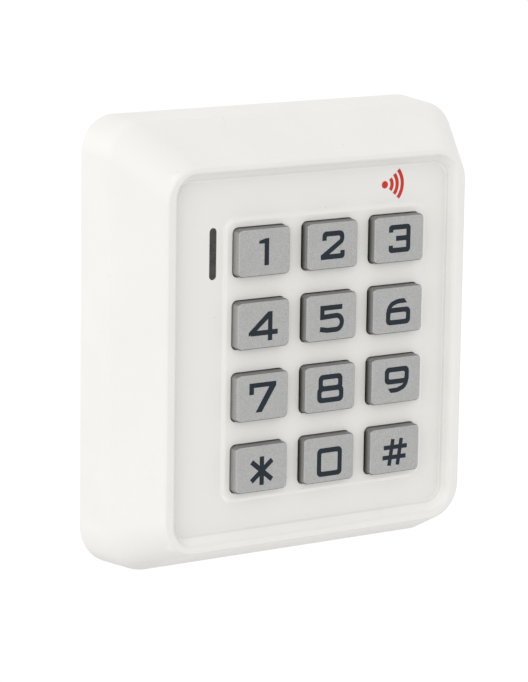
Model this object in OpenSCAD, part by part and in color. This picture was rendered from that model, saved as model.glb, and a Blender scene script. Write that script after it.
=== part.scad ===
// Wall-mounted keypad access reader.
// The origin is the centre of the back, on the wall plane. +Z is up and the
// front faces -Y, so a depth d in front of the wall is at y = -d.

/* [Body] */
// Width of the housing at the wall
body_w = 81.5; // [81:0.1:83]
// Height of the housing at the wall
body_h = 89.5; // [89.4:0.1:91]
// Depth from the wall to the raised front rim
body_d = 22.9; // [22.8:0.1:24]
// Depth at which the side walls turn into the wide bevel
crease_d = 10.4; // [9.8:0.1:11]
// Radius of the housing's two upper corners at the wall
corner_r = 7; // [6:0.5:8]
// How much wider the radius of the two lower corners is
low_corner_more = 1.5; // [0:0.5:2]
// Wall thickness of the front cover
wall = 2.2; // [2:0.1:2.4]

/* [Front panel] */
// Width of the sunken front panel
panel_w = 64.8; // [64:0.2:65.2]
// Height of the sunken front panel
panel_h = 69.2; // [69:0.2:70]
// Depth of the step from the rim down to the panel
panel_step = 2.9; // [2.7:0.1:3]
// Height of the raised key field above the panel
field_rise = 0.5; // [0.3:0.1:0.7]

/* [Keys] */
// Distance between key columns
column_pitch = 16; // [15.8:0.1:16.2]
// Distance between key rows
row_pitch = 14.25; // [14.1:0.05:14.4]
// Width of a key
key_w = 12; // [11.7:0.1:12.2]
// Height of a key
key_h = 9.4; // [9:0.1:9.8]
// How far a key stands above the key field
key_proud = 2; // [1.6:0.1:2.2]
// Clearance between a key and its opening
key_gap = 0.25; // [0.2:0.05:0.3]
// How far a key travels before its contact closes
key_travel = 1.2; // [0.8:0.1:1.2]

/* [Fixing] */
// Distance between the two wall-box screw slots
box_pitch = 60; // [59:0.5:61]
// Width of a screw slot
slot_w = 4.5; // [4:0.1:5]
// Length of a screw slot
slot_len = 7; // [6:0.5:8]
// Diameter of the four corner screw holes
corner_hole_d = 4.2; // [3.8:0.1:4.6]

/* [Hidden] */
KEY_NAMES = ["1", "2", "3", "4", "5", "6", "7", "8", "9", "star", "0", "hash"];

$fn = 64;
hull_fn = 32;
thin = 0.01;
// How far a cut runs past the face that it opens
over = 1;

// Housing: the rim, the panel and the keys sit a little below the middle
crease_w = body_w - 0.6;
crease_h = body_h - 1.2;
crease_r = corner_r;
rim_w = body_w - 11.4;
rim_h = body_h - 14.1;
rim_r = corner_r - 0.1;
rim_z = -1.1;
skirt_d = 0.3;
panel_d = body_d - panel_step;
panel_r = 3.4;
rim_opening_w = panel_w + 0.8;
rim_opening_h = panel_h + 3.2;
rim_opening_r = 4.4;
field_d = panel_d + field_rise;
panel_back_d = panel_d - wall + 0.2;

// Keys: the grid sits right of and a little below the middle of the panel
grid_x = 3.3;
grid_z = rim_z - 1.1;
field_w = 47.8;
field_h = 56;
field_r = 2.4;
key_r = 1;
key_edge = 0.4;
key_front_d = field_d + key_proud;
opening_r = key_r + key_gap;
flange_t = 1;
flange_gap = 0.1;
flange_front_d = panel_back_d - flange_gap;
flange_back_d = flange_front_d - flange_t;
flange_margin = 1.2;

// Main board
board_t = 1.6;
board_front_d = 12.8;
board_back_d = board_front_d - board_t;
board_w = 66;
board_h = 77;
board_r = 6;
board_screw_x = [-12, 18];
board_screw_z = [rim_z - 31.6, rim_z + 30.6];
board_screw_r = 1.1;
boss_r = 2.3;
boss_bore_r = 1.15;

// Silicone mat and its domes
mat_t = 1;
mat_w = 46;
mat_h = 55.2;
mat_d = board_front_d + mat_t;
dome_r = 5.4;
dome_hole_r = 4.7;
dome_foot = 0.4;
dome_stem_r = 3.4;
dome_shoulder_d = mat_d + 1.9;
dome_web = 0.5;
pill_r = 1.75;
pill_t = 0.5;
pill_back_d = board_front_d + key_travel;

// Antenna coil
coil_w = 65;
coil_h = 75;
coil_r = 8;
coil_band = 3;
coil_z = -0.8;

// Indicator
window_x = -23;
window_z = rim_z + 20.3;
window_w = 1.5;
window_h = 10;
window_back_d = 15;

// Buzzer
buzzer_d = 5;

// Back plate
plate_t = 2.4;
plate_w = body_w - 2 * wall - 0.8;
plate_h = body_h - 2 * wall - 1;
plate_r = corner_r - wall;
entry_z = 5;
entry_w = 24;
entry_h = 16;
entry_r = 2;
corner_hole_x = 25;
corner_hole_z = 35;
hook_x = 20;
hook_w = 8;
cover_screw_d = 5.6;
cover_boss_w = 9;
cover_boss_d = 8.8;
cover_boss_gap = 0.3;
cover_boss_top = -35.4;
cover_screw_r = 1.2;
cover_screw_z = -body_h / 2 + 0.7;
cover_screw_head_t = 1.2;

// Tamper switch
tamper_x = 24;
tamper_z = -4;
tamper_pin_r = 1.3;
tamper_travel = 1.5;
tamper_body = 7;
tamper_body_d = 8.2;
collar_r = 2.6;
collar_t = 0.8;
collar_back_d = 4.6;

// Terminal block
terminal_count = 8;
terminal_pitch = 3.5;
terminal_z = -13;
terminal_h = 7.6;
terminal_d = 4;
terminal_port_d = 6.8;
terminal_port_h = 2.8;

function row_z(i) = grid_z + (1.5 - floor(i / 3)) * row_pitch;
function column_x(i) = grid_x + (i % 3 - 1) * column_pitch;

// Draws its children with their Z axis pointing out of the front, from depth d
module at_depth(d) translate([0, -d, 0]) rotate([90, 0, 0]) children();

// A rectangle with round corners, or a slot where the radius is half the width
module rounded(w, h, r) {
    square([w, h - 2 * r], center = true);
    if (w > 2 * r) {
        square([w - 2 * r, h], center = true);
        for (x = [-1, 1], y = [-1, 1]) translate([x * (w / 2 - r), y * (h / 2 - r)]) circle(r);
    } else {
        for (y = [-1, 1]) translate([0, y * (h / 2 - r)]) circle(r);
    }
}

// The housing's outline, whose lower corners have the wider radius
module body_outline(w, h, r) {
    low_r = r + low_corner_more;
    translate([0, (low_r - r) / 2]) square([w, h - r - low_r], center = true);
    translate([0, h / 2 - r / 2]) square([w - 2 * r, r], center = true);
    translate([0, (low_r - h) / 2]) square([w - 2 * low_r, low_r], center = true);
    for (x = [-1, 1]) {
        translate([x * (w / 2 - r), h / 2 - r]) circle(r);
        translate([x * (w / 2 - low_r), low_r - h / 2]) circle(low_r);
    }
}

module block(x, z, w, h, r, back_d, front_d)
    at_depth(back_d) translate([x, z]) linear_extrude(front_d - back_d) rounded(w, h, r);

module post(x, z, r, back_d, front_d)
    at_depth(back_d) translate([x, z]) cylinder(r = r, h = front_d - back_d);

module sheet(w, h, r, d) at_depth(d) linear_extrude(thin) rounded(w, h, r, $fn = hull_fn);

module body_sheet(w, h, r, d) at_depth(d) linear_extrude(thin) body_outline(w, h, r, $fn = hull_fn);

module at_rim() translate([0, 0, rim_z]) children();

module at_keys() for (i = [0:11]) translate([column_x(i), 0, row_z(i)]) children();

module at_board_screws() for (x = board_screw_x, z = board_screw_z) translate([x, 0, z]) children();

module front_cover() color("#f2f0ec") {
    difference() {
        hull() {
            body_sheet(body_w, body_h, corner_r, skirt_d);
            body_sheet(crease_w, crease_h, crease_r, crease_d);
            at_rim() sheet(rim_w, rim_h, rim_r, body_d - thin);
        }
        cover_hollow();
        at_rim() hull() {
            sheet(panel_w, panel_h, panel_r, panel_d);
            sheet(rim_opening_w, rim_opening_h, rim_opening_r, body_d);
        }
        key_openings();
        block(window_x, window_z, window_w + 0.1, window_h + 0.1, window_w / 2, panel_back_d - over, body_d);
        cover_screw_hole();
    }
    difference() {
        block(grid_x, grid_z, field_w, field_h, field_r, panel_d, field_d);
        key_openings();
    }
    at_board_screws() difference() {
        post(0, 0, boss_r, board_front_d, panel_back_d);
        post(0, 0, boss_bore_r, board_front_d - over, panel_back_d);
    }
    for (x = [-hook_x, hook_x]) translate([x - hook_w / 2, -4.2, body_h / 2 - wall - 1.6])
        cube([hook_w, 1.6, 1.8]);
}

module cover_hollow() hull() {
    body_sheet(body_w - 2 * wall, body_h - 2 * wall, corner_r - wall, skirt_d - over);
    body_sheet(crease_w - 2 * wall, crease_h - 2 * wall, crease_r - wall, crease_d);
    at_rim() sheet(rim_w - 2.8, rim_h - 1.4, rim_r - 1, panel_back_d - thin);
}

module key_openings() at_keys()
    block(0, 0, key_w + 2 * key_gap, key_h + 2 * key_gap, opening_r, panel_back_d - over, body_d);

module cover_screw_hole() translate([0, -cover_screw_d, -body_h / 2 - over]) {
    cylinder(r = 1.7, h = wall + 2 * over);
    cylinder(r = 3.1, h = over + body_h / 2 + cover_screw_z + cover_screw_head_t);
}

module back_plate() color("#e9e7e2") {
    difference() {
        union() {
            at_depth(0) linear_extrude(plate_t) body_outline(plate_w, plate_h, plate_r);
            post(tamper_x, tamper_z, collar_r + 1, plate_t, collar_back_d - tamper_travel);
        }
        block(0, entry_z, entry_w, entry_h, entry_r, -over, plate_t + over);
        for (z = [-1, 1]) block(0, z * box_pitch / 2, slot_w, slot_len, slot_w / 2, -over, plate_t + over);
        for (x = [-1, 1], z = [-1, 1])
            post(x * corner_hole_x, z * corner_hole_z, corner_hole_d / 2, -over, plate_t + over);
        post(tamper_x, tamper_z, tamper_pin_r + 0.4, -over, plate_t + 2 * over);
    }
    difference() {
        translate([-cover_boss_w / 2, -cover_boss_d, -plate_h / 2 + cover_boss_gap])
            cube([cover_boss_w, cover_boss_d, plate_h / 2 - cover_boss_gap + cover_boss_top]);
        translate([0, -cover_screw_d, -plate_h / 2 - over]) cylinder(r = cover_screw_r + 0.05, h = 7.5);
    }
    for (x = [-hook_x, hook_x]) top_hook(x);
}

// A hook that stands on the plate and reaches up behind the ledge in the cover
module top_hook(x) translate([x - (hook_w - 1) / 2, 0, plate_h / 2]) rotate([90, 0, 90])
    linear_extrude(hook_w - 1) polygon([
        [-plate_t + 0.2, -3.4], [-plate_t + 0.2, -1.8], [-4.5, -1.8], [-4.5, -0.2], [-6, -0.2], [-6, -3.4]]);

module key_cap() color("#a9a9a7") {
    block(0, 0, key_w, key_h, key_r, flange_front_d - thin, key_front_d - key_edge);
    hull() {
        sheet(key_w, key_h, key_r, key_front_d - key_edge - thin);
        sheet(key_w - 0.24, key_h - 0.24, key_r - 0.12, key_front_d - 0.12);
        sheet(key_w - 2 * key_edge, key_h - 2 * key_edge, key_r - key_edge, key_front_d - thin);
    }
    block(0, 0, key_w + 2 * flange_margin, key_h + 2 * flange_margin, key_r, flange_back_d, flange_front_d);
}

module contact_pill() color("#222222") post(0, 0, pill_r, pill_back_d, pill_back_d + pill_t);

module keypad_mat() color("#4a4a4a") difference() {
    block(grid_x, grid_z, mat_w, mat_h, 3, board_front_d, mat_d);
    at_keys() post(0, 0, dome_hole_r, board_front_d - over, mat_d + over);
}

// One dome for each key: a foot on the mat, a thin sloping web and a solid stem
module mat_domes() color("#565656") at_keys() at_depth(0) rotate_extrude() polygon([
    [0, pill_back_d + pill_t], [dome_stem_r - dome_web, pill_back_d + pill_t],
    [dome_stem_r - dome_web, dome_shoulder_d - dome_web], [dome_hole_r, mat_d], [dome_r, mat_d],
    [dome_r, mat_d + dome_foot], [dome_stem_r, dome_shoulder_d + dome_foot], [dome_stem_r, flange_back_d],
    [0, flange_back_d]]);

module indicator_window() color("#4b4a48") {
    block(window_x, window_z, window_w, window_h, window_w / 2 - 0.01, panel_back_d, panel_d);
    block(window_x, window_z, 4, 12.6, 0.5, panel_back_d - 1, panel_back_d);
    block(window_x, window_z, 3, 10.4, 0.5, window_back_d, panel_back_d - 1);
}

module indicator_leds() color("#f4efd8") for (dz = [-2.8, 2.8])
    block(window_x, window_z + dz, 2.8, 3.2, 0.2, board_front_d, board_front_d + 1.9);

module main_board() color("#2f6b46") difference() {
    block(0, 0, board_w, board_h, board_r, board_back_d, board_front_d);
    at_board_screws() post(0, 0, board_screw_r + 0.2, board_back_d - over, board_front_d + over);
}

module antenna_coil() color("#b5652b") difference() {
    block(0, coil_z, coil_w, coil_h, coil_r, board_front_d, board_front_d + coil_band);
    block(0, coil_z, coil_w - 2 * coil_band, coil_h - 2 * coil_band, coil_r - coil_band,
        board_front_d - over, board_front_d + coil_band + over);
}

module buzzer() color("#1d1d1f") difference() {
    post(20, 20, 6, buzzer_d, board_back_d);
    post(20, 20, 1, buzzer_d - over, buzzer_d + 1);
}

// A moulded chip with a row of legs along two or four of its sides
module chip(x, z, w, h, t, legs, pitch, four = false) {
    block(x, z, w, h, 0.2, board_back_d - t, board_back_d - 0.15);
    for (i = [0:legs - 1], side = [-1, 1]) {
        step = (i - (legs - 1) / 2) * pitch;
        block(x + step, z + side * (h / 2 + 0.5), pitch * 0.4, 1, pitch * 0.1, board_back_d - 0.6, board_back_d);
        if (four)
            block(x + side * (w / 2 + 0.5), z + step, 1, pitch * 0.4, pitch * 0.1, board_back_d - 0.6, board_back_d);
    }
}

module microcontroller() color("#26272a") chip(-17, 9, 7, 7, 1.5, 8, 0.8, four = true);
module reader_chip() color("#26272a") chip(-2, 25, 8.7, 3.9, 1.6, 7, 1.27);
module line_driver() color("#26272a") chip(13, -24.5, 4.9, 3.9, 1.6, 4, 1.27);

module voltage_regulator() color("#26272a") {
    block(-6, -25, 6.5, 3.5, 0.2, board_back_d - 1.7, board_back_d - 0.1);
    block(-6, -22.4, 3, 1.7, 0.2, board_back_d - 0.8, board_back_d);
    for (i = [-1:1]) block(-6 + i * 2.3, -27.5, 0.8, 1.5, 0.1, board_back_d - 0.8, board_back_d);
}

module electrolytic_capacitors() color("#9da2a6") for (z = [-29, -20.5]) {
    block(-23, z, 6.6, 6.6, 0.9, board_back_d - 0.8, board_back_d);
    post(-23, z, 3.15, board_back_d - 5.8, board_back_d - 0.8);
}

module chip_components() color("#8a6f50") {
    for (i = [0:4]) block(-26 + 2.6 * i, 18, 1.25, 2, 0.1, board_back_d - 0.6, board_back_d);
    for (i = [0:3]) block(8, 6 + 2.6 * i - 12, 2, 1.25, 0.1, board_back_d - 0.6, board_back_d);
    for (i = [0:3]) block(2.5 + 2.6 * i, -31, 1.25, 2, 0.1, board_back_d - 0.6, board_back_d);
}

module crystal() color("#c4c6c8") block(-18, 25, 11, 4.6, 2.2, board_back_d - 3.5, board_back_d);

module terminal_block() color("#3f8f4f") {
    w = terminal_count * terminal_pitch;
    difference() {
        block(0, terminal_z, w, terminal_h, 0.3, terminal_d, board_back_d);
        for (i = [0:terminal_count - 1]) translate([(i - (terminal_count - 1) / 2) * terminal_pitch, 0, 0]) {
            post(0, terminal_z - 0.6, 1.35, terminal_d - over, terminal_d + 2);
            block(0, terminal_z + terminal_h / 2, 2.5, 5, 0.2, terminal_port_d,
                terminal_port_d + terminal_port_h);
        }
    }
}

module terminal_screws() color("#b9bcc0") for (i = [0:terminal_count - 1]) difference() {
    x = (i - (terminal_count - 1) / 2) * terminal_pitch;
    post(x, terminal_z - 0.6, 1.25, terminal_d + 0.4, terminal_d + 2);
    block(x, terminal_z - 0.6, 2.4, 0.4, 0.05, terminal_d, terminal_d + 0.9);
}

module tamper_switch() color("#1f2124") difference() {
    block(tamper_x, tamper_z, tamper_body, tamper_body, 0.5, tamper_body_d, board_back_d);
    post(tamper_x, tamper_z, tamper_pin_r + 0.05, tamper_body_d - over, board_back_d - 1);
}

module tamper_plunger() color("#e8e8e4") {
    post(tamper_x, tamper_z, tamper_pin_r, 0, board_back_d - 1.6);
    post(tamper_x, tamper_z, collar_r, collar_back_d, collar_back_d + collar_t);
}

// The spring is a helix of round wire round the plunger, swept ring by ring
spring_turns = 4;
spring_wire_r = 0.2;
spring_r = 2.1;
spring_low = collar_back_d + collar_t + spring_wire_r;
spring_high = tamper_body_d - spring_wire_r;
spring_steps = 16 * spring_turns;
spring_sides = 8;

function spring_ring(i) = let(
    turn = 360 * i * spring_turns / spring_steps,
    centre_z = spring_low + (spring_high - spring_low) * i / spring_steps)
    [for (k = [0:spring_sides - 1]) let(a = 360 * k / spring_sides, r = spring_r + spring_wire_r * cos(a))
        [r * cos(turn), r * sin(turn), centre_z + spring_wire_r * sin(a)]];

module tamper_spring() color("#c9ccd0") at_depth(0) translate([tamper_x, tamper_z])
    polyhedron(
        points = [for (i = [0:spring_steps]) each spring_ring(i)],
        faces = concat(
            [[for (k = [0:spring_sides - 1]) k]],
            [[for (k = [spring_sides - 1:-1:0]) spring_steps * spring_sides + k]],
            [for (i = [0:spring_steps - 1], k = [0:spring_sides - 1]) let(
                a = i * spring_sides + k, b = i * spring_sides + (k + 1) % spring_sides)
                [a, a + spring_sides, b + spring_sides, b]]));

module board_screws() color("#b9bcc0") at_board_screws() {
    post(0, 0, board_screw_r, board_back_d - thin, board_front_d + 4);
    difference() {
        post(0, 0, 2, board_back_d - 1.4, board_back_d);
        for (turn = [0, 90]) at_depth(board_back_d - 1.4 - over) rotate(turn)
            linear_extrude(over + 0.8) square([2.6, 0.5], center = true);
    }
}

module cover_screw() color("#b9bcc0") translate([0, -cover_screw_d, cover_screw_z]) {
    difference() {
        cylinder(r = 2.8, h = cover_screw_head_t);
        for (turn = [0, 90]) rotate(turn) cube([3.4, 0.6, 1.6], center = true);
    }
    cylinder(r = cover_screw_r, h = 8);
}

front_cover();
back_plate();
keypad_mat();
mat_domes();
for (i = [0:11]) translate([column_x(i), 0, row_z(i)]) key_cap();
for (i = [0:11]) translate([column_x(i), 0, row_z(i)]) contact_pill();
indicator_window();
indicator_leds();
main_board();
antenna_coil();
buzzer();
microcontroller();
reader_chip();
line_driver();
voltage_regulator();
electrolytic_capacitors();
chip_components();
crystal();
terminal_block();
terminal_screws();
tamper_switch();
tamper_plunger();
tamper_spring();
board_screws();
cover_screw();
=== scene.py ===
# The looks of the keypad access reader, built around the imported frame.
# Lengths are in millimetres unless a comment says metres. x runs to the right, z up,
# and d is the depth in front of the wall, so that a point is at y = -d.
import math

import bmesh
import bpy
from mathutils import Matrix, Vector


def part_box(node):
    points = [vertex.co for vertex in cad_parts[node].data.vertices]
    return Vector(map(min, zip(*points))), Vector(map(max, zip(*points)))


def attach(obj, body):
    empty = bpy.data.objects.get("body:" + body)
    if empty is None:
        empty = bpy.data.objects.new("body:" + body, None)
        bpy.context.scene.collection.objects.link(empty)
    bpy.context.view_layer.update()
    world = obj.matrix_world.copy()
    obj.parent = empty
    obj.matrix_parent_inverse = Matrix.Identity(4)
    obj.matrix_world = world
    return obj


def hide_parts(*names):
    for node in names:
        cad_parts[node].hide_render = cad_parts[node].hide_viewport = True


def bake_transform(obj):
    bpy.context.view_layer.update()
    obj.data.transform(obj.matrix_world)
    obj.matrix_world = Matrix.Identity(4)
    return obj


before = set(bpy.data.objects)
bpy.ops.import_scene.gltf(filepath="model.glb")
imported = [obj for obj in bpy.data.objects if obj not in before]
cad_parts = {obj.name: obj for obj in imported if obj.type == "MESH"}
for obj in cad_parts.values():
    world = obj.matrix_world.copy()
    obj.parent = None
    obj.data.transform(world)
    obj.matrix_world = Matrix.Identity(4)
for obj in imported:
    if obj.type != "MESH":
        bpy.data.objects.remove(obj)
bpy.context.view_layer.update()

MM = 0.001
ROOT = "housing"
KEY_NAMES = ["1", "2", "3", "4", "5", "6", "7", "8", "9", "star", "0", "hash"]


# ---------------------------------------------------------------- the frame's sizes

def box_mm(node):
    """Lowest and highest corner of a node as (x, d, z), with d the depth in front of the wall."""
    low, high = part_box(node)
    return (low[0] / MM, -high[1] / MM, low[2] / MM), (high[0] / MM, -low[1] / MM, high[2] / MM)


def centre_mm(node):
    """The middle of a node seen from the front, as (x, z)."""
    low, high = box_mm(node)
    return (low[0] + high[0]) / 2, (low[2] + high[2]) / 2


# The housing: a skirt against the wall, a bevel from the crease to the rim, and a sunken panel
cover_low, cover_high = box_mm("front_cover")
BODY_W = cover_high[0] - cover_low[0]
BODY_H = cover_high[2] - cover_low[2]
BODY_D = cover_high[1]
SKIRT_D = cover_low[1]
WALL = 2.2
CORNER_R, LOW_MORE = 7.0, 1.5
CREASE_D = 10.4
CREASE_W, CREASE_H, CREASE_R = BODY_W - 0.6, BODY_H - 1.2, CORNER_R
RIM_W, RIM_H, RIM_R, RIM_Z = BODY_W - 11.4, BODY_H - 14.1, CORNER_R - 0.1, -1.1
PANEL_W, PANEL_H, PANEL_R = 64.8, 69.2, 3.4
PANEL_D = BODY_D - 2.9
PANEL_BACK_D = box_mm("key_1")[0][1] + 1.1
LEDGE_X, LEDGE_W, LEDGE_T, LEDGE_REACH, LEDGE_BACK_D = 20.0, 8.0, 1.6, 1.6, 2.6
BOSS_R, BOSS_BORE_R = 2.3, 1.15
BOARD_SCREW_HEAD_R = 2.0
HEAD_HOLE_R, HEAD_HOLE_DEPTH, SHANK_HOLE_R = 3.1, 1.9, 1.7
OPENING_EDGE = 0.12

# The keys and the raised field round them
KEY_AT = {name: centre_mm("key_" + name) for name in KEY_NAMES}
KEY_FRONT_D = box_mm("key_1")[1][1]
KEY_W, KEY_H, KEY_R, KEY_GAP = 12.0, 9.4, 1.0, 0.16
KEY_FLANGE_T = 1.0
FIELD_X = sum(x for x, z in KEY_AT.values()) / len(KEY_AT)
FIELD_Z = sum(z for x, z in KEY_AT.values()) / len(KEY_AT)
FIELD_W, FIELD_H, FIELD_R = 47.8, 56.0, 2.4
FIELD_D = PANEL_D + 0.5

# The parts behind the keys
BOARD_D = box_mm("main_board")[1][1]
MAT_D = box_mm("keypad_mat")[1][1]
STEM_R, DOME_R, DOME_HOLE_R = 3.4, 5.4, 4.7
SHOULDER_D = MAT_D + 1.9
WINDOW_AT = centre_mm("indicator_window")
WINDOW_W, WINDOW_H, WINDOW_GAP = 1.5, 10.0, 0.05
COVER_SCREW_D = (box_mm("cover_screw")[0][1] + box_mm("cover_screw")[1][1]) / 2

# The prints
STROKE = 1.0
INK_T, INK_SUNK = 0.025, 0.05
LEGEND_LIFTS = 0.1, -0.3, 0.0, -0.5
SYMBOL_AT = 19.3, RIM_Z + 30.9


# ---------------------------------------------------------------- outlines

def rounded(w, h, r, x=0.0, z=0.0, steps=8, low_more=0.0):
    """A rectangle with round corners as (x, z) points, counter-clockwise.

    The radius of the lower two corners is larger by low_more."""
    points = []
    corners = ((1, 1, r), (-1, 1, r), (-1, -1, r + low_more), (1, -1, r + low_more))
    for turn, (sx, sz, r) in enumerate(corners):
        for i in range(steps + 1):
            a = math.radians(90 * turn + 90 * i / steps)
            points.append((x + sx * (w / 2 - r) + r * math.cos(a),
                           z + sz * (h / 2 - r) + r * math.sin(a)))
    return points


def circle(r, x=0.0, z=0.0, steps=32):
    angles = [2 * math.pi * i / steps for i in range(steps)]
    return [(x + r * math.cos(a), z + r * math.sin(a)) for a in angles]


def toward(a, b, distance):
    """The point at a distance from a on the way to b."""
    length = math.dist(a, b)
    return tuple(p + (q - p) * distance / length for p, q in zip(a, b))


def smooth(path, cuts, steps=6):
    """Rounds the inner corners of a path whose points are tuples of numbers.

    cuts[i] is how far corner i + 1 is cut back, or a pair: before the corner and after it."""
    result = [path[0]]
    for before, corner, after, cut in zip(path, path[1:], path[2:], cuts):
        if not cut:
            result.append(corner)
            continue
        near, far = (cut, cut) if not isinstance(cut, tuple) else cut
        start = toward(corner, before, near)
        end = toward(corner, after, far)
        for i in range(steps + 1):
            t = i / steps
            result.append(tuple((1 - t) ** 2 * s + 2 * t * (1 - t) * c + t * t * e
                                for s, c, e in zip(start, corner, end)))
    result.append(path[-1])
    return result


# ---------------------------------------------------------------- mesh building

class Shell:
    """A surface put together from rings of points."""

    def __init__(self):
        self.bm = bmesh.new()

    def ring(self, outline, d):
        return [self.bm.verts.new((x * MM, -d * MM, z * MM)) for x, z in outline]

    def bridge(self, a, b):
        for i in range(len(a)):
            j = (i + 1) % len(a)
            self.bm.faces.new((a[i], a[j], b[j], b[i]))

    def tube(self, rings):
        for a, b in zip(rings, rings[1:]):
            self.bridge(a, b)

    def edges(self, ring):
        found = []
        for i in range(len(ring)):
            pair = (ring[i], ring[(i + 1) % len(ring)])
            found.append(self.bm.edges.get(pair) or self.bm.edges.new(pair))
        return found

    def fill(self, outer, holes=()):
        edges = self.edges(outer)
        for hole in holes:
            edges += self.edges(hole)
        bmesh.ops.triangle_fill(self.bm, use_beauty=True, edges=edges)

    def cap(self, ring):
        self.bm.faces.new(ring)

    def rect_tube(self, path, x=0.0, z=0.0, steps=8):
        """Rings of rounded rectangles along a path of (half width, half height, radius, depth).

        A path may add how far each ring is lifted and how much wider its lower corners are."""
        rings = []
        for w, h, r, d, *more in path:
            lift, low_more = more or (0, 0)
            rings.append(self.ring(rounded(2 * w, 2 * h, r, x, z + lift, steps, low_more), d))
        self.tube(rings)
        return rings

    def round_tube(self, path, x=0.0, z=0.0, steps=32):
        """Rings of circles along a path of (radius, depth)."""
        rings = [self.ring(circle(r, x, z, steps), d) for r, d in path]
        self.tube(rings)
        return rings

    def solid(self, path, x, z, tube, **more):
        """A closed tube with flat ends."""
        rings = tube(path, x, z, **more)
        self.cap(rings[0])
        self.cap(rings[-1])

    def mesh(self, name):
        bmesh.ops.recalc_face_normals(self.bm, faces=self.bm.faces[:])
        mesh = bpy.data.meshes.new(name)
        self.bm.to_mesh(mesh)
        self.bm.free()
        return mesh


def boolean(mesh, tool, operation):
    """The mesh after a Boolean with another one, both left out of the scene."""
    pair = [bpy.data.objects.new("boolean_" + part.name, part) for part in (mesh, tool)]
    for obj in pair:
        bpy.context.scene.collection.objects.link(obj)
    step = pair[0].modifiers.new("Boolean", "BOOLEAN")
    step.object = pair[1]
    step.operation = operation
    step.solver = "EXACT"
    evaluated = pair[0].evaluated_get(bpy.context.evaluated_depsgraph_get())
    result = bpy.data.meshes.new_from_object(evaluated)
    result.name = mesh.name
    for obj in pair:
        bpy.data.objects.remove(obj)
    for part in (mesh, tool):
        bpy.data.meshes.remove(part)
    return result


def piece(mesh, material, body, replaced=(), sharp=40):
    """Puts a mesh in the scene, smooth except at its sharp edges, and says what it rides on."""
    bm = bmesh.new()
    bm.from_mesh(mesh)
    for face in bm.faces:
        face.smooth = True
    for edge in bm.edges:
        edge.smooth = len(edge.link_faces) == 2 and edge.calc_face_angle(0) < math.radians(sharp)
    bm.to_mesh(mesh)
    bm.free()
    obj = bpy.data.objects.new(mesh.name, mesh)
    bpy.context.scene.collection.objects.link(obj)
    obj.data.materials.clear()
    obj.data.materials.append(material)
    weighted = obj.modifiers.new("Flat faces stay flat", "WEIGHTED_NORMAL")
    weighted.keep_sharp = True
    if body:
        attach(obj, body)
    if replaced:
        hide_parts(*replaced)
    return obj


# ---------------------------------------------------------------- materials

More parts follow.
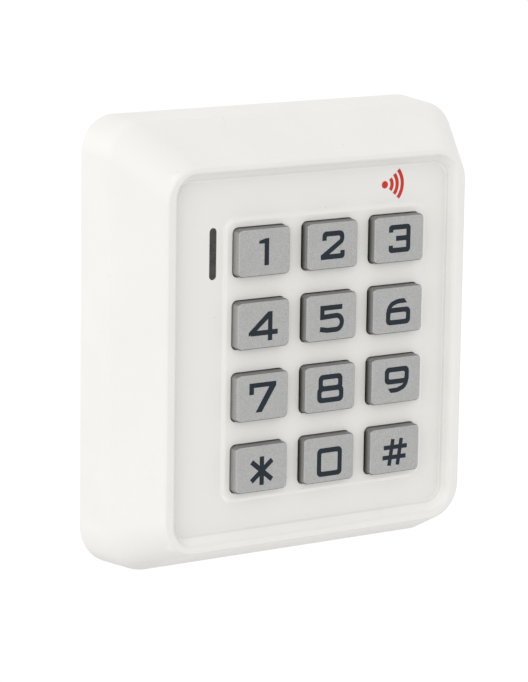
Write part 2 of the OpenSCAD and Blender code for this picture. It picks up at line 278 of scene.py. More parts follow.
class Finish:
    """A procedural material: sockets of its shader are fed by a few small nodes."""

    def __init__(self, name, roughness, metallic=0.0, **sockets):
        self.material = bpy.data.materials.new(name)
        self.material.use_nodes = True
        self.tree = self.material.node_tree
        self.shader = self.tree.nodes["Principled BSDF"]
        self.shader.inputs["Roughness"].default_value = roughness
        self.shader.inputs["Metallic"].default_value = metallic
        for socket, value in sockets.items():
            self.shader.inputs[socket.replace("_", " ")].default_value = value
        self.place = self.add("ShaderNodeTexCoord")

    def add(self, kind, **settings):
        node = self.tree.nodes.new(kind)
        for setting, value in settings.items():
            setattr(node, setting, value)
        return node

    def feed(self, socket, value):
        if isinstance(value, bpy.types.NodeSocket):
            self.tree.links.new(value, socket)
        elif hasattr(value, "__len__") and len(value) == 3 and socket.type == "RGBA":
            socket.default_value = (*value, 1)
        else:
            socket.default_value = value

    def noise(self, size, detail=2.0, roughness=0.5, stretch=None):
        """Noise whose features are about so many millimetres across, from 0 to 1."""
        node = self.add("ShaderNodeTexNoise")
        node.inputs["Scale"].default_value = 1 / (size * MM)
        node.inputs["Detail"].default_value = detail
        node.inputs["Roughness"].default_value = roughness
        self.feed(node.inputs["Vector"], self.stretched(stretch))
        return node.outputs[0]

    def stretched(self, stretch):
        if not stretch:
            return self.place.outputs["Object"]
        mapping = self.add("ShaderNodeMapping")
        mapping.inputs["Scale"].default_value = stretch
        self.feed(mapping.inputs["Vector"], self.place.outputs["Object"])
        return mapping.outputs[0]

    def math(self, operation, a, b=0.0):
        node = self.add("ShaderNodeMath", operation=operation)
        self.feed(node.inputs[0], a)
        self.feed(node.inputs[1], b)
        return node.outputs[0]

    def span(self, value, low, high, to_low=0.0, to_high=1.0):
        """Maps low..high smoothly to to_low..to_high."""
        node = self.add("ShaderNodeMapRange", interpolation_type="SMOOTHSTEP")
        for socket, number in zip(("Value", "From Min", "From Max", "To Min", "To Max"),
                                  (value, low, high, to_low, to_high)):
            self.feed(node.inputs[socket], number)
        return node.outputs[0]

    def span_mm(self, value, low, high, to_low=0.0, to_high=1.0):
        """The same for a value in metres, with low and high in millimetres."""
        return self.span(value, low * MM, high * MM, to_low, to_high)

    def mix(self, factor, a, b):
        node = self.add("ShaderNodeMix", data_type="RGBA")
        for index, value in ((0, factor), (6, a), (7, b)):
            self.feed(node.inputs[index], value)
        return node.outputs[2]

    def axis(self, socket, name):
        """One of X, Y and Z of the place or of the normal in the object's own space."""
        node = self.add("ShaderNodeSeparateXYZ")
        self.feed(node.inputs[0], self.place.outputs[socket])
        return node.outputs[name]

    def height(self):
        """How far in front of the wall the place is, in metres."""
        return self.math("MULTIPLY", self.axis("Object", "Y"), -1)

    def away(self, name, middle):
        """How far the place is from a middle along one of X, Y and Z, in metres."""
        return self.math("ABSOLUTE", self.math("SUBTRACT", self.axis("Object", name), middle * MM))

    def specks(self, cell, size, share):
        """Small dots of a size in millimetres, in some of the cells of a Voronoi pattern."""
        node = self.add("ShaderNodeTexVoronoi")
        node.inputs["Scale"].default_value = 1 / (cell * MM)
        self.feed(node.inputs["Vector"], self.place.outputs["Object"])
        dot = self.span(node.outputs["Distance"], size / cell, size / cell * 0.5)
        chosen = self.add("ShaderNodeSeparateColor")
        self.feed(chosen.inputs[0], node.outputs["Color"])
        return self.math("MULTIPLY", dot, self.math("GREATER_THAN", chosen.outputs[0], 1 - share))

    def colour(self, socket):
        self.feed(self.shader.inputs["Base Color"], socket)
        return self

    def rough(self, socket):
        self.feed(self.shader.inputs["Roughness"], socket)
        return self

    def bump(self, height, depth, strength=1.0):
        """Relief of so many millimetres."""
        node = self.add("ShaderNodeBump")
        node.inputs["Distance"].default_value = depth * MM
        node.inputs["Strength"].default_value = strength
        self.feed(node.inputs["Height"], height)
        self.feed(self.shader.inputs["Normal"], node.outputs[0])
        return self


def grained(name, dark, light, grain, roughness, relief, metallic=0.0, stretch=None, **sockets):
    """A plain material with grain: two near shades, a little relief and uneven gloss."""
    finish = Finish(name, roughness, metallic, **sockets)
    noise = finish.noise(grain, 3.0, 0.6, stretch)
    finish.colour(finish.mix(finish.span(noise, 0.3, 0.7), dark, light))
    finish.rough(finish.span(noise, 0.25, 0.75, roughness - 0.06, roughness + 0.06))
    finish.bump(noise, relief)
    return finish.material


def white_abs():
    """Warm white moulded plastic: fine satin, faint clouds and a few specks of dust.

    Painted light makes the walls and the key field's ramps round the sunken panel paler, and painted
    shade makes the bevel's underside and the sunken floor darker."""
    finish = Finish("warm_white_abs", 0.42)
    fine = finish.noise(0.35, 3.0, 0.7)
    clouds = finish.noise(14.0, 2.0)
    base = finish.mix(finish.span(clouds, 0.3, 0.7), (0.662, 0.656, 0.630), (0.680, 0.675, 0.650))
    base = finish.mix(finish.span(fine, 0.25, 0.75, 0.0, 0.5), base, (0.640, 0.632, 0.604))

    height = finish.height()
    # Painted shade: faces that look down are darker, most on the skirt below the crease and less up the
    # bevel.
    painted_underside_shade = finish.math("MULTIPLY", finish.span(finish.axis("Normal", "Z"), -0.9, -0.5, 1, 0),
                            finish.span_mm(height, CREASE_D, BODY_D, 1, 0.25))
    base = finish.mix(painted_underside_shade, base, (0.590, 0.580, 0.552))

    inside_x, inside_z = (finish.span_mm(finish.away(axis, middle), half - 2.2, half - 0.7, 1, 0)
                          for axis, middle, half in (("X", 0, RIM_W / 2), ("Z", RIM_Z, RIM_H / 2)))
    inside = finish.math("MULTIPLY", inside_x, inside_z)
    # Painted shade: inside the rim, the sunken panel's floor is a little darker.
    floor = finish.span_mm(height, PANEL_D + 0.1, FIELD_D - 0.05, 1, 0)
    base = finish.mix(finish.math("MULTIPLY", inside, floor), base, (0.662, 0.655, 0.628))

    # Painted light: inside the rim, faces of the key field's ramps and the panel that look right or
    # down, and the panel's walls above the field, are paler as if lit.
    painted_light_tone = (0.740, 0.734, 0.708)
    ramp = finish.math("MULTIPLY", inside, finish.span_mm(height, FIELD_D - 0.1, FIELD_D, 1, 0))
    outward = finish.math("MAXIMUM", finish.span(finish.axis("Normal", "X"), 0.1, 0.4),
                          finish.span(finish.axis("Normal", "Z"), -0.4, -0.1, 1, 0))
    base = finish.mix(finish.math("MULTIPLY", ramp, outward), base, painted_light_tone)
    wall = finish.math("MULTIPLY", finish.span_mm(height, FIELD_D + 0.02, FIELD_D + 0.2),
                       finish.span_mm(height, BODY_D - 0.8, BODY_D - 0.15, 1, 0))
    base = finish.mix(finish.math("MULTIPLY", inside, wall), base, painted_light_tone)

    finish.colour(finish.mix(finish.specks(3.6, 0.13, 0.55), base, (0.33, 0.31, 0.28)))
    finish.rough(finish.span(fine, 0.2, 0.8, 0.38, 0.50))
    return finish.bump(fine, 0.012, 0.6).material


def silver_paint():
    """Silver-grey paint with a metallic grain; the edges round the face carry a painted highlight, and
    the sides, tops and undersides are painted darker as shade.
    """
    finish = Finish("silver_paint", 0.42, 0.3)
    grain = finish.noise(0.22, 3.0, 0.8)
    blotches = finish.noise(2.4, 3.0)
    face = finish.mix(finish.span(grain, 0.32, 0.68), (0.290, 0.291, 0.288), (0.425, 0.426, 0.420))
    face = finish.mix(finish.span(blotches, 0.35, 0.7, 0.0, 0.25), face, (0.315, 0.315, 0.308))

    # Painted shade: the sides that look at another key are darker than the left column's outer sides,
    # and all sides darken towards their feet, most between the keys.
    between = finish.span_mm(finish.axis("Object", "X"), FIELD_X - 20, FIELD_X - 8)
    side = finish.mix(finish.span(grain, 0.3, 0.7), (0.285, 0.284, 0.278), (0.420, 0.420, 0.412))
    side = finish.mix(finish.math("MULTIPLY", between, 0.6), side, (0.175, 0.172, 0.165))
    foot_shade = finish.mix(between, (0.270, 0.266, 0.256), (0.040, 0.036, 0.031))
    side = finish.mix(finish.span_mm(finish.height(), FIELD_D + 0.1, FIELD_D + 1.7), foot_shade, side)

    facing = finish.math("MULTIPLY", finish.axis("Normal", "Y"), -1)
    # Painted shade: faces turned away from the front take the darker side colour.
    body = finish.mix(finish.span(facing, 0.15, 0.6), side, face)
    # Painted highlight: the rounded edges round the face are brighter.
    edge = finish.math("SUBTRACT", finish.span(facing, 0.35, 0.7), finish.span(facing, 0.8, 0.99))
    body = finish.mix(finish.math("MULTIPLY", edge, 0.2), body, (0.52, 0.52, 0.515))
    # Painted shade: faces that look up are darker, and faces that look down darker still.
    upward = finish.span(finish.axis("Normal", "Z"), 0.2, 0.75)
    key_underside_shade = finish.span(finish.axis("Normal", "Z"), -0.75, -0.25, 1, 0)
    body = finish.mix(upward, body, (0.165, 0.164, 0.158))
    finish.colour(finish.mix(key_underside_shade, body, (0.090, 0.087, 0.080)))
    finish.rough(finish.span(grain, 0.2, 0.8, 0.36, 0.52))
    return finish.bump(grain, 0.014, 0.6).material


def tinned_chip(name, node, legs):
    """Black moulding compound, with tin on the legs that stick out by so much along X and along Z."""
    low, high = box_mm(node)
    halves = (high[0] - low[0]) / 2, (high[2] - low[2]) / 2
    finish = Finish(name, 0.5)
    grain = finish.noise(0.25, 3.0)
    inside_x, inside_z = (finish.math("LESS_THAN", finish.away(axis, middle), (half - leg + 0.005) * MM)
                          for axis, middle, half, leg in zip("XZ", centre_mm(node), halves, legs))
    inside = finish.math("MULTIPLY", inside_x, inside_z)
    black = finish.mix(grain, (0.014, 0.014, 0.015), (0.030, 0.030, 0.031))
    tin = finish.mix(grain, (0.50, 0.50, 0.50), (0.66, 0.66, 0.65))
    finish.colour(finish.mix(inside, tin, black))
    finish.feed(finish.shader.inputs["Metallic"], finish.math("SUBTRACT", 1.0, inside))
    return finish.bump(grain, 0.01, 0.4).material


def solder_mask():
    """Green laminate with traces that show through the mask as slightly lighter lines."""
    finish = Finish("green_board", 0.3, Coat_Weight=0.4, Coat_Roughness=0.2)
    turned = finish.add("ShaderNodeMapping")
    turned.inputs["Rotation"].default_value = (math.radians(90), 0, 0)
    finish.feed(turned.inputs["Vector"], finish.place.outputs["Object"])
    traces = finish.add("ShaderNodeTexBrick", offset=0.37, squash=1.7)
    finish.feed(traces.inputs["Vector"], turned.outputs[0])
    for socket, value in (("Scale", 1 / (9 * MM)), ("Mortar Size", 0.012), ("Mortar Smooth", 0.2)):
        traces.inputs[socket].default_value = value
    weave = finish.noise(0.8, 2.0)
    green = finish.mix(weave, (0.016, 0.105, 0.043), (0.024, 0.140, 0.058))
    finish.colour(finish.mix(traces.outputs["Fac"], green, (0.045, 0.235, 0.100)))
    return finish.bump(traces.outputs["Fac"], 0.03, 0.4).material


def copper_winding():
    """Enamelled wire: fine grooves that follow the turns of the coil."""
    finish = Finish("copper_winding", 0.3, 0.9, Coat_Weight=0.5, Coat_Roughness=0.15)
    turns = finish.add("ShaderNodeTexWave", wave_type="BANDS", bands_direction="Y")
    turns.inputs["Scale"].default_value = 1 / (0.9 * MM)
    turns.inputs["Distortion"].default_value = 0.6
    finish.feed(turns.inputs["Vector"], finish.place.outputs["Object"])
    finish.colour(finish.mix(turns.outputs["Fac"], (0.20, 0.060, 0.020), (0.62, 0.25, 0.09)))
    return finish.bump(turns.outputs["Fac"], 0.08, 0.8).material


WHITE = white_abs()
SILVER = silver_paint()
INK = grained("key_ink", (0.010, 0.015, 0.021), (0.019, 0.027, 0.036), 0.3, 0.6, 0.004,
              Specular_IOR_Level=0.15)
RED = grained("red_print", (0.43, 0.026, 0.020), (0.50, 0.038, 0.030), 0.5, 0.55, 0.004,
              Specular_IOR_Level=0.15)
SMOKE = grained("smoked_acrylic", (0.030, 0.029, 0.026), (0.048, 0.046, 0.040), 1.2, 0.3, 0.003,
                Specular_IOR_Level=0.3)
PLATE = grained("back_plate_abs", (0.64, 0.63, 0.60), (0.69, 0.68, 0.65), 0.4, 0.5, 0.012)
SILICONE = grained("dark_silicone", (0.050, 0.050, 0.052), (0.085, 0.085, 0.088), 0.6, 0.7, 0.02)
CARBON = grained("carbon_pill", (0.008, 0.008, 0.009), (0.020, 0.020, 0.022), 0.2, 0.65, 0.01)
LED = grained("led_package", (0.70, 0.66, 0.48), (0.86, 0.83, 0.68), 1.5, 0.25, 0.004,
              Coat_Weight=0.4)
BLACK = grained("black_plastic", (0.012, 0.012, 0.013), (0.026, 0.026, 0.028), 0.3, 0.45, 0.012)
CAN = grained("aluminium_can", (0.50, 0.51, 0.53), (0.70, 0.71, 0.73), 0.25, 0.32, 0.01,
              metallic=1.0, stretch=(1, 12, 1))
CERAMIC = grained("ceramic_chips", (0.26, 0.17, 0.09), (0.46, 0.33, 0.20), 0.5, 0.4, 0.01)
NICKEL = grained("nickel_can", (0.56, 0.56, 0.56), (0.72, 0.72, 0.71), 0.5, 0.28, 0.006,
                 metallic=1.0, stretch=(0.2, 1, 1))
TERMINAL = grained("terminal_green", (0.030, 0.190, 0.060), (0.050, 0.260, 0.085), 0.5, 0.42, 0.012)
STEEL = grained("zinc_steel", (0.42, 0.42, 0.43), (0.66, 0.66, 0.67), 0.2, 0.34, 0.012,
                metallic=1.0, stretch=(1, 1, 8))
ACETAL = grained("natural_acetal", (0.70, 0.70, 0.66), (0.80, 0.80, 0.77), 0.8, 0.4, 0.006)


# ---------------------------------------------------------------- the front cover

def outer_path():
    """From the back edge of the skirt, up the wall and the bevel, over the rim and down to the panel."""
    return smooth([
        (BODY_W / 2 - 0.5, BODY_H / 2 - 0.5, CORNER_R - 0.5, SKIRT_D, 0, LOW_MORE),
        (BODY_W / 2, BODY_H / 2, CORNER_R, SKIRT_D, 0, LOW_MORE),
        (CREASE_W / 2, CREASE_H / 2, CREASE_R, CREASE_D, 0, LOW_MORE),
        (RIM_W / 2, RIM_H / 2, RIM_R, BODY_D, RIM_Z, 0),
        (PANEL_W / 2 + 0.35, PANEL_H / 2 + 1.8, PANEL_R + 1.1, BODY_D, RIM_Z, 0),
        (PANEL_W / 2, PANEL_H / 2, PANEL_R, PANEL_D, RIM_Z, 0),
        (PANEL_W / 2 - 2, PANEL_H / 2 - 2, PANEL_R - 1, PANEL_D, RIM_Z, 0),
    ], [0.3, 0.8, (0.8, 0.6), (1.3, 1.3), 0.4])


def hollow_path():
    """The inside, from behind the panel back to the skirt's edge."""
    return [
        (RIM_W / 2 - 1.4, RIM_H / 2 - 0.7, RIM_R - 1, PANEL_BACK_D, RIM_Z, 0),
        (CREASE_W / 2 - WALL, CREASE_H / 2 - WALL, CREASE_R - WALL, CREASE_D, 0, LOW_MORE),
        (BODY_W / 2 - WALL, BODY_H / 2 - WALL, CORNER_R - WALL, SKIRT_D, 0, LOW_MORE),
    ]


def field_path():
    """The raised key field: a low ramp with soft edges."""
    w, h = FIELD_W / 2, FIELD_H / 2
    return smooth([
        (w + 0.4, h + 0.4, FIELD_R + 0.4, PANEL_D), (w + 0.1, h + 0.1, FIELD_R + 0.1, PANEL_D),
        (w - 0.5, h - 0.5, FIELD_R - 0.4, FIELD_D), (w - 1.3, h - 1.3, FIELD_R - 0.8, FIELD_D),
    ], [0.25, 0.4])


def opening_path(w, h, r, front_d, edge):
    """A through opening in the panel with a softened front edge."""
    out = edge + 0.05
    return smooth([(w + out, h + out, r + out, front_d), (w, h, r, front_d), (w, h, r, PANEL_BACK_D)],
                  [edge], steps=4)


def boss(shell, x, z):
    """A screw boss: down its outside, over its end and into its blind bore."""
    rings = shell.round_tube([(BOSS_R, PANEL_BACK_D), (BOSS_R, BOARD_D), (BOSS_BORE_R, BOARD_D),
                              (BOSS_BORE_R, PANEL_BACK_D - 0.1)], x, z)
    shell.cap(rings[-1])
    return rings[0]


def board_screw_places():
    """The four screws' axes as (x, z), one head's radius inside the box round them all."""
    low, high = box_mm("board_screws")
    return [(x, z) for x in (low[0] + BOARD_SCREW_HEAD_R, high[0] - BOARD_SCREW_HEAD_R)
            for z in (low[2] + BOARD_SCREW_HEAD_R, high[2] - BOARD_SCREW_HEAD_R)]


def screw_hole_cutter():
    """The cover screw's stepped hole, up through the bottom wall."""
    shell = Shell()
    floor_z = -BODY_H / 2
    outside_z, step_z, inside_z = floor_z - 1, floor_z + HEAD_HOLE_DEPTH, floor_z + 4
    rings = [[shell.bm.verts.new((x * MM, -(COVER_SCREW_D + y) * MM, z * MM)) for x, y in circle(r)]
             for r, z in ((HEAD_HOLE_R, outside_z), (HEAD_HOLE_R, step_z),
                          (SHANK_HOLE_R, step_z), (SHANK_HOLE_R, inside_z))]
    shell.tube(rings)
    shell.cap(rings[0])
    shell.cap(rings[-1])
    return shell.mesh("screw_hole")


def ledges():
    """The two ledges inside the top wall that hook behind the back plate."""
    shell = Shell()
    corner_r, sunk = 0.2, 0.2
    half_height = (LEDGE_REACH + sunk) / 2
    z = BODY_H / 2 - WALL + sunk - half_height
    path = [(LEDGE_W / 2, half_height, corner_r, d) for d in (LEDGE_BACK_D, LEDGE_BACK_D + LEDGE_T)]
    for x in (-LEDGE_X, LEDGE_X):
        shell.solid(path, x, z, shell.rect_tube, steps=2)
    return shell.mesh("ledges")


def build_cover():
    """One skin round the front and the hollow, then the ledges are added and the screw hole is cut."""
    shell = Shell()
    rings = shell.rect_tube(hollow_path() + outer_path(), steps=16)
    field = shell.rect_tube(field_path(), FIELD_X, FIELD_Z)
    w, h, r = KEY_W / 2 + KEY_GAP, KEY_H / 2 + KEY_GAP, KEY_R + KEY_GAP
    openings = [shell.rect_tube(opening_path(w, h, r, FIELD_D, OPENING_EDGE), x, z)
                for x, z in KEY_AT.values()]
    w, h = WINDOW_W / 2 + WINDOW_GAP, WINDOW_H / 2 + WINDOW_GAP
    slot = shell.rect_tube(opening_path(w, h, w - 0.01, PANEL_D, OPENING_EDGE), *WINDOW_AT)
    shell.fill(rings[-1], [field[0], slot[0]])
    shell.fill(field[-1], [opening[0] for opening in openings])
    bosses = [boss(shell, x, z) for x, z in board_screw_places()]
    shell.fill(rings[0], [opening[-1] for opening in openings] + [slot[-1]] + bosses)
    mesh = boolean(shell.mesh("front_cover_shell"), ledges(), "UNION")
    mesh = boolean(mesh, screw_hole_cutter(), "DIFFERENCE")
    piece(mesh, WHITE, ROOT, ["front_cover"], sharp=35)


# ---------------------------------------------------------------- keys and their legends

def build_key(name):
    """A flange behind the panel and a cap with a rounded front edge."""
    low, high = box_mm("key_" + name)
    w, h = KEY_W / 2, KEY_H / 2
    flange_w, flange_h = (high[0] - low[0]) / 2, (high[2] - low[2]) / 2
    flange_d = low[1] + KEY_FLANGE_T
    shell = Shell()
    shell.solid(smooth([
        (flange_w - 0.3, flange_h - 0.3, KEY_R - 0.3, low[1]), (flange_w, flange_h, KEY_R, low[1]),
        (flange_w, flange_h, KEY_R, flange_d), (w, h, KEY_R, flange_d), (w, h, KEY_R, KEY_FRONT_D),
        (w - 0.9, h - 0.9, KEY_R - 0.7, KEY_FRONT_D)], [0.15, 0.15, 0, (0.55, 0.5)]),
        *KEY_AT[name], shell.rect_tube)
    piece(shell.mesh("key_cap_" + name), SILVER, "button_" + name, ["key_" + name])


def round_corners(corners, steps=6):
    """A closed outline whose corners, given as (x, z, radius), become arcs.

    Each arc is a rational curve: start, corner and end, the corner weighted by the half angle's sine."""
    result = []
    for i, (x, z, r) in enumerate(corners):
        if not r:
            result.append((x, z))
            continue
        corner = Vector((x, z))
        before = Vector(corners[i - 1][:2]) - corner
        after = Vector(corners[(i + 1) % len(corners)][:2]) - corner
        half = before.angle(after) / 2
        cut = min(r / math.tan(half), 0.49 * before.length, 0.49 * after.length)
        start, end = corner + before.normalized() * cut, corner + after.normalized() * cut
        for k in range(steps + 1):
            t = k / steps
            weights = ((1 - t) ** 2, 2 * math.sin(half) * t * (1 - t), t * t)
            point = start * weights[0] + corner * weights[1] + end * weights[2]
            result.append(tuple(point / sum(weights)))
    return result


def stroke(points, radii=(), width=STROKE):
    """The outline of a line of even width; each inner corner of the line may be given a radius."""
    radii = [0, *radii, *[0] * (len(points) - 1 - len(radii))]
    sides = ([], [])
    for i, point in enumerate(points):
        last = i + 1 == len(points)
        ahead = None if last else (Vector(points[i + 1]) - Vector(point)).normalized()
        behind = (Vector(point) - Vector(points[i - 1])).normalized() if i else ahead
        ahead = ahead or behind
        middle = (ahead + behind).normalized()
        reach = width / 2 / max(0.3, middle.dot(ahead))
        turn = math.copysign(width / 2, behind.x * ahead.y - behind.y * ahead.x)
        for side, way in zip(sides, (1, -1)):
            r = max(0.1, radii[i] - way * turn) if radii[i] else 0
            side.append((point[0] - way * middle.y * reach, point[1] + way * middle.x * reach, r))
    return [round_corners(sides[0] + sides[1][::-1])]


def loop(w, h, r, x=0.0, z=0.0):
    """A closed stroke round a rounded rectangle of this outside size."""
    inner_r = r - 0.65 * STROKE
    return [rounded(w, h, r, x, z), rounded(w - 2 * STROKE, h - 2 * STROKE, inner_r, x, z)]


def glyph(name):
    """A key's legend about the key's middle: strokes, each an outline and the holes in it."""
    if name == "1":
        return [[[(-1.35, 1.6), (-1.35, 2.15), (0.1, 2.55), (0.95, 2.55), (0.95, -2.72), (-0.08, -2.72),
                  (-0.08, 1.6)]]]
    if name == "2":
        bow = [(-2.05, 0.95), (-2.05, 2.25), (2.15, 2.25), (2.15, 0.75), (-2.58, -2.32)]
        base = [(-2.85, -2.3), (2.3, -2.3), (2.3, -1.2)]
        return [stroke(bow, (0.7, 0.9, 0.8)), stroke(base, (0.2,))]
    if name == "3":
        round_line = [(-2.05, 1.3), (-2.05, 2.3), (2.2, 2.3), (2.2, -2.3), (-2.05, -2.3), (-2.05, -1.3)]
        return [stroke(round_line, (0.3, 0.3, 0.3, 0.3)), stroke([(-0.8, 0.05), (2.2, 0.05)])]
    if name == "4":
        slant = [(-3.5, -1.78), (-3.5, -1.05), (0.98, 2.8), (1.9, 2.12), (-2.2, -1.25)]
        return [stroke([(-3.0, -1.28), (3.25, -1.28)]), stroke([(1.48, 2.8), (1.48, -2.9)]), [slant]]
    if name == "5":
        line = [(2.5, 2.22), (-2.25, 2.22), (-2.25, 0.42), (2.45, 0.6), (2.45, -2.25), (-1.0, -2.25),
                (-2.75, -1.95)]
        return [stroke(line, (0, 0, 1.4, 1.4, 1.5))]
    if name in ("6", "9"):
        turned = 1 if name == "6" else -1
        tail = [(1.45, 2.06), (-0.2, 2.03), (-1.75, 1.5), (-2.36, 0.45), (-2.4, -1.2)]
        slanted_end = [(1.4, 1.59), (1.4, 2.53), (2.1, 1.62)]
        shapes = [stroke(tail, (3.0, 1.8, 1.5), 0.95), [slanted_end], loop(5.9, 3.45, 1.0, 0, -0.96)]
        return [[[(x * turned + 0.12, z * turned) for x, z in line] for line in shape]
                for shape in shapes]
    if name == "7":
        return [[[(-3.15, 0.6), (-3.15, 2.86), (3.1, 2.86), (3.1, 2.05), (-0.2, -3.0), (-1.65, -3.0),
                  (1.5, 1.93), (-2.1, 1.93), (-2.1, 0.6)]]]
    if name == "8":
        return [loop(5.7, 3.3, 1.0, 0, 1.2), loop(6.25, 3.3, 1.05, 0, -1.15)]
    if name == "0":
        return [loop(5.95, 5.75, 0.95, 0.08, -0.07)]
    if name == "star":
        return [stroke([(-x, -z), (x, z)]) for x, z in ((0, 2.85), (2.4, 1.95), (2.4, -1.95))]
    lean, thin = 0.42, 0.88
    uprights = [[(x - lean, -2.65), (x + lean, 2.75)] for x in (-0.9, 1.15)]
    bars = [[(-2.95 + shift, z), (2.75 + shift, z)] for z, shift in ((1.1, 0.25), (-0.95, 0))]
    return [stroke(line, width=thin) for line in uprights + bars]


def slab(name, loops, x, z, back_d, front_d):
    """A thin closed plate from an outline and its holes."""
    shell = Shell()
    ends = [[shell.ring([(x + u, z + v) for u, v in line], d) for line in loops]
            for d in (back_d, front_d)]
    for a, b in zip(*ends):
        shell.bridge(a, b)
    for outer, *holes in ends:
        shell.fill(outer, holes)
    return shell.mesh(name)


def build_legend(name):
    """The printed sign on a key, a little above or below its middle, by row."""
    x, z = KEY_AT[name]
    row = KEY_NAMES.index(name) // 3
    z += LEGEND_LIFTS[row]
    meshes = [slab("legend_" + name, shape, x, z, KEY_FRONT_D - INK_SUNK, KEY_FRONT_D + INK_T)
              for shape in glyph(name)]
    whole = meshes[0]
    for other in meshes[1:]:
        whole = boolean(whole, other, "UNION")
    piece(whole, INK, "button_" + name)


# ---------------------------------------------------------------- the printed symbol and the indicator

def build_symbol():
    """A generic sign for a contactless reader: a dot and three arcs, printed on the panel."""
    dot_x, dot_r, arc_width = -2.0, 0.75, 0.78
    spread, steps = math.radians(41), 14
    shapes = [[circle(dot_r, dot_x, 0)]]
    for arc_r in (1.75, 3.0, 4.25):
        angles = [spread * (2 * i / steps - 1) for i in range(steps + 1)]
        shapes.append(stroke([(dot_x + arc_r * math.cos(a), arc_r * math.sin(a)) for a in angles],
                             width=arc_width))
    meshes = [slab("reader_symbol", shape, *SYMBOL_AT, PANEL_D - INK_SUNK, PANEL_D + INK_T)
              for shape in shapes]
    bm = bmesh.new()
    for mesh in meshes:
        bm.from_mesh(mesh)
    bm.to_mesh(meshes[0])
    bm.free()
    piece(meshes[0], RED, ROOT)


def build_window():
    """The light pipe: a flange behind the panel and a slot-shaped front with a soft edge."""
    low, high = box_mm("indicator_window")
    w, h = WINDOW_W / 2, WINDOW_H / 2
    flange_w, flange_h = (high[0] - low[0]) / 2, (high[2] - low[2]) / 2
    flange_back_d = PANEL_BACK_D - 1
    foot_w, foot_h, foot_r = 1.5, 5.2, 0.5
    front_d = high[1] - 0.06
    shell = Shell()
    shell.solid(smooth([
        (foot_w, foot_h, foot_r, low[1]), (foot_w, foot_h, foot_r, flange_back_d),
        (flange_w, flange_h, foot_r, flange_back_d), (flange_w, flange_h, foot_r, PANEL_BACK_D),
        (w, h, w - 0.02, PANEL_BACK_D), (w, h, w - 0.02, front_d),
        (w - 0.3, h - 0.3, w - 0.32, front_d)], [0, 0, 0, 0, 0.15]), *WINDOW_AT, shell.rect_tube)
    piece(shell.mesh("indicator_light_pipe"), SMOKE, ROOT, ["indicator_window"])


# ---------------------------------------------------------------- rubber domes and the tamper spring

def build_dome(name):
    """A dome's sloping web, which is not tied to the key, and the stem that moves with the key."""
    x, z = KEY_AT[name]
    pill_top = box_mm("contact_pill_" + name)[1][1]
    stem_top = box_mm("key_" + name)[0][1]
    web_top, web_under = SHOULDER_D + 0.4, SHOULDER_D - 0.4
    web = Shell()
    web.round_tube(smooth([
        (DOME_HOLE_R, MAT_D), (DOME_R, MAT_D), (DOME_R, MAT_D + 0.4), (STEM_R, web_top),
        (STEM_R - 0.3, web_top), (STEM_R - 0.3, web_under), (DOME_HOLE_R, MAT_D)],
        [0.1, 0.2, 0.25, 0, 0.2]), x, z)
    bmesh.ops.remove_doubles(web.bm, verts=web.bm.verts[:], dist=0.001 * MM)
    folding = piece(web.mesh("dome_web_" + name), SILICONE, None, ["mat_domes"])
    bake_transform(folding)
    stem = Shell()
    stem.solid(smooth([
        (STEM_R - 0.8, pill_top), (STEM_R - 0.35, pill_top), (STEM_R - 0.35, web_top), (STEM_R, web_top),
        (STEM_R, stem_top), (STEM_R - 0.6, stem_top)], [0.3, 0, 0, 0.2]), x, z, stem.round_tube)
    piece(stem.mesh("dome_stem_" + name), SILICONE, "button_" + name, ["mat_domes"])


def build_spring():
    """A coil of round wire between the tamper switch and the plunger's collar."""
    x, z = centre_mm("tamper_spring")
    low, high = box_mm("tamper_spring")
    wire_r, coil_r, turns, steps, sides = 0.2, 2.1, 4, 28, 10
    rise = high[1] - low[1] - 2 * wire_r
    shell = Shell()
    rings = []
    for i in range(turns * steps + 1):
        a = 2 * math.pi * i / steps
        d = low[1] + wire_r + rise * i / (turns * steps)
        rings.append([shell.bm.verts.new(((x + (coil_r + u) * math.cos(a)) * MM, -(d + v) * MM,
                                          (z + (coil_r + u) * math.sin(a)) * MM))
                      for u, v in circle(wire_r, steps=sides)])
    shell.tube(rings)
    shell.cap(rings[0])
    shell.cap(rings[-1])
    spring = piece(shell.mesh("tamper_coil"), STEEL, None, ["tamper_spring"])
    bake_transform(spring)


# ---------------------------------------------------------------- the CAD parts that stay

def dress(node, material, bevel=0.0):
    """Gives a CAD node its finish and, if asked, softens its edges by so many millimetres."""
    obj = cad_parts[node]
    obj.data.materials.clear()
    obj.data.materials.append(material)
    if not bevel:
        return
    weld = obj.modifiers.new("Weld", "WELD")
    weld.merge_threshold = 0.002 * MM
    edge = obj.modifiers.new("Soft edges", "BEVEL")
    edge.width = bevel * MM
    edge.segments = 2
    edge.limit_method = "ANGLE"
    edge.angle_limit = math.radians(40)
    edge.use_clamp_overlap = True
    weighted = obj.modifiers.new("Flat faces stay flat", "WEIGHTED_NORMAL")
    weighted.keep_sharp = True


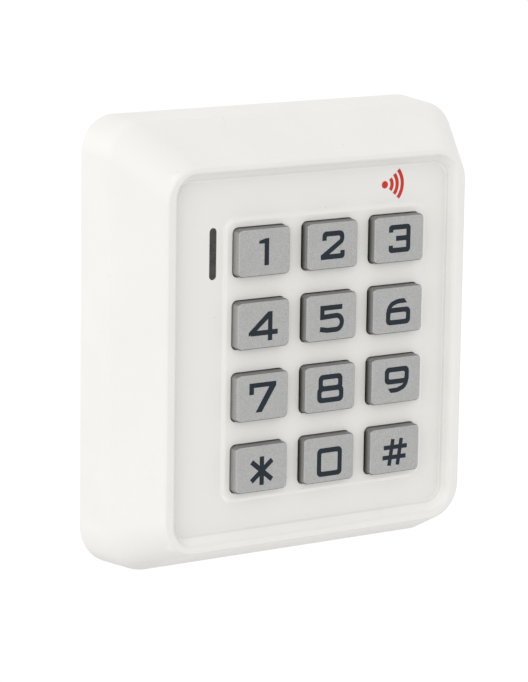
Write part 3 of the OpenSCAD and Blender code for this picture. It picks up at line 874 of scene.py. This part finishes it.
def dress_parts():
    dress("back_plate", PLATE, 0.2)
    dress("keypad_mat", SILICONE, 0.15)
    dress("indicator_leds", LED, 0.1)
    dress("main_board", solder_mask(), 0.05)
    dress("antenna_coil", copper_winding(), 0.3)
    dress("buzzer", BLACK, 0.25)
    dress("microcontroller", tinned_chip("microcontroller_chip", "microcontroller", (1, 1)))
    dress("reader_chip", tinned_chip("reader_circuit", "reader_chip", (0, 1)))
    dress("line_driver", tinned_chip("driver_circuit", "line_driver", (0, 1)))
    dress("voltage_regulator", tinned_chip("regulator_circuit", "voltage_regulator", (0, 1.4)))
    dress("electrolytic_capacitors", CAN, 0.15)
    dress("chip_components", CERAMIC, 0.05)
    dress("crystal", NICKEL, 0.3)
    dress("terminal_block", TERMINAL, 0.1)
    dress("terminal_screws", STEEL, 0.05)
    dress("tamper_switch", BLACK, 0.2)
    dress("tamper_plunger", ACETAL, 0.15)
    dress("board_screws", STEEL, 0.08)
    dress("cover_screw", STEEL, 0.1)
    for name in KEY_NAMES:
        dress("contact_pill_" + name, CARBON, 0.06)


# ---------------------------------------------------------------- floor, lights and camera

def build_floor():
    """A wide plain floor well below the reader, which hangs as on a wall; in metres."""
    half, level = 3.0, -0.25
    bm = bmesh.new()
    corners = ((-half, -half), (half, -half), (half, half), (-half, half))
    bm.faces.new([bm.verts.new((x, y, level)) for x, y in corners])
    mesh = bpy.data.meshes.new("floor")
    bm.to_mesh(mesh)
    bm.free()
    floor = bpy.data.objects.new("floor", mesh)
    bpy.context.scene.collection.objects.link(floor)
    floor.data.materials.append(grained("floor_white", (0.83, 0.83, 0.83), (0.845, 0.845, 0.845),
                                        60, 0.9, 0.01))


def look_from(yaw, pitch, roll):
    """Camera axes for a view that turns right by yaw, down by pitch and rolls, all in degrees."""
    y, p, r = (math.radians(a) for a in (yaw, pitch, roll))
    forward = Vector((math.sin(y) * math.cos(p), math.cos(y) * math.cos(p), -math.sin(p)))
    right = Vector((math.cos(y), -math.sin(y), 0))
    up = right.cross(forward)
    across = math.cos(r) * right + math.sin(r) * up
    upward = -math.sin(r) * right + math.cos(r) * up
    return Matrix((across, upward, -forward)).transposed().to_4x4()


def build_camera():
    """A long lens from the left and a little above, in metres and degrees."""
    data = bpy.data.cameras.new("camera")
    data.sensor_width = 36
    data.lens = 179.5
    data.clip_start = 0.01
    camera = bpy.data.objects.new("camera", data)
    place = Vector((-0.37385, -0.55825, 0.12799))
    camera.matrix_world = Matrix.Translation(place) @ look_from(33.99, 11.06, 0.84)
    bpy.context.scene.collection.objects.link(camera)
    bpy.context.scene.camera = camera


def build_sun(name, energy, angle, travel):
    """A broad soft light that travels in one direction."""
    data = bpy.data.lights.new(name, "SUN")
    data.energy = energy
    data.angle = math.radians(angle)
    light = bpy.data.objects.new(name, data)
    light.rotation_euler = Vector(travel).to_track_quat("-Z", "Y").to_euler()
    bpy.context.scene.collection.objects.link(light)


def build_world():
    """Even white light from all round."""
    world = bpy.data.worlds.new("studio")
    world.use_nodes = True
    background = world.node_tree.nodes["Background"]
    background.inputs["Color"].default_value = (1, 1, 1, 1)
    background.inputs["Strength"].default_value = 1.1
    bpy.context.scene.world = world


build_camera()
build_cover()
for key_name in KEY_NAMES:
    build_key(key_name)
    build_legend(key_name)
    build_dome(key_name)
build_symbol()
build_window()
build_spring()
dress_parts()
build_floor()
build_world()
build_sun("side_light", 0.60, 60, (0.75, -0.65, -0.12))
build_sun("front_light", 0.78, 50, (0.72, 0.58, -0.36))
bpy.context.scene.view_settings.view_transform = "Standard"
